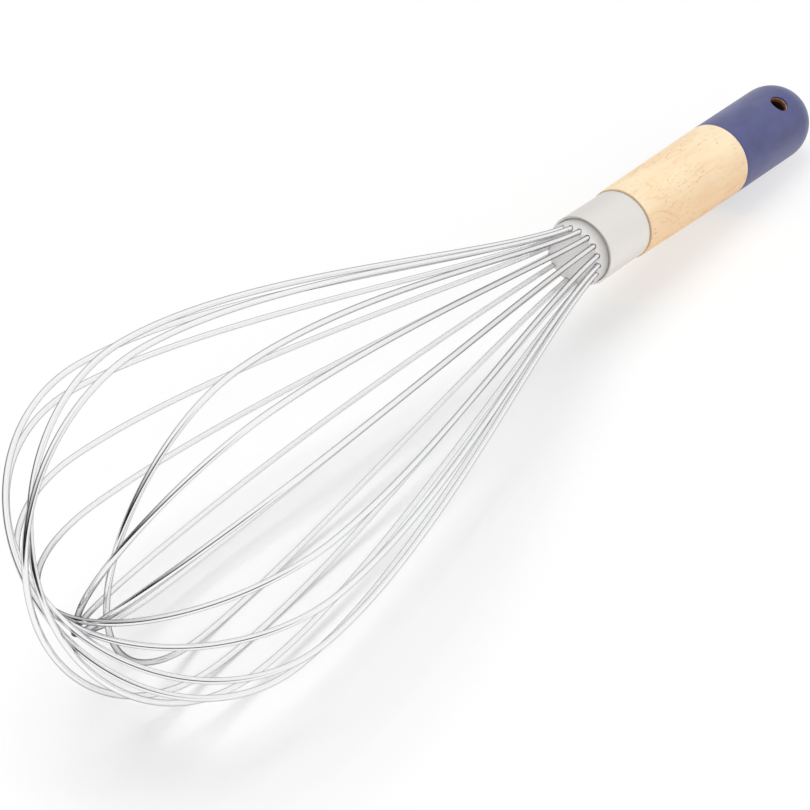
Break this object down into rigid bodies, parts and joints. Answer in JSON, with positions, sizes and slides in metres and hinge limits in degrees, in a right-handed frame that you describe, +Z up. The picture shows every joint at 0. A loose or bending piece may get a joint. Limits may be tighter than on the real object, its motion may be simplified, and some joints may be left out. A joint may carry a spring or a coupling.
{
  "type": "balloon whisk",
  "caption": "Hand whisk with a balloon of nested sprung wire loops set in a ferrule, and a turned wooden handle with a dipped, domed butt drilled to hang.",
  "frame": {"origin": "centre of the bottom of the whisk's bounding box, on the surface that it lies on", "axes": "+X from the cage's tip to the handle's butt along the surface, +Z up from the surface"},
  "size_m": [0.2982, 0.0824, 0.083],
  "materials": {
    "wood": "turned pale close-grained hardwood, sanded and lightly oiled",
    "blue_coat": "satin dipped colour coat",
    "ferrule_steel": "satin stainless steel sleeve",
    "holder_grey": "moulded grey plug, smooth",
    "resin": "cast resin, hidden inside the ferrule",
    "wire_steel": "polished sprung stainless steel wire"
  },
  "bodies": {
    "root": {"handle": "wood", "dip_coat": "blue_coat", "ferrule": "ferrule_steel", "wire_holder": "holder_grey", "anchor_resin": "resin", "wire_loop_1": "wire_steel", "wire_loop_2": "wire_steel", "wire_loop_3": "wire_steel", "wire_loop_4": "wire_steel", "wire_loop_5": "wire_steel", "wire_loop_6": "wire_steel", "wire_loop_7": "wire_steel", "wire_loop_8": "wire_steel", "wire_loop_9": "wire_steel"}
  },
  "joints": []
}
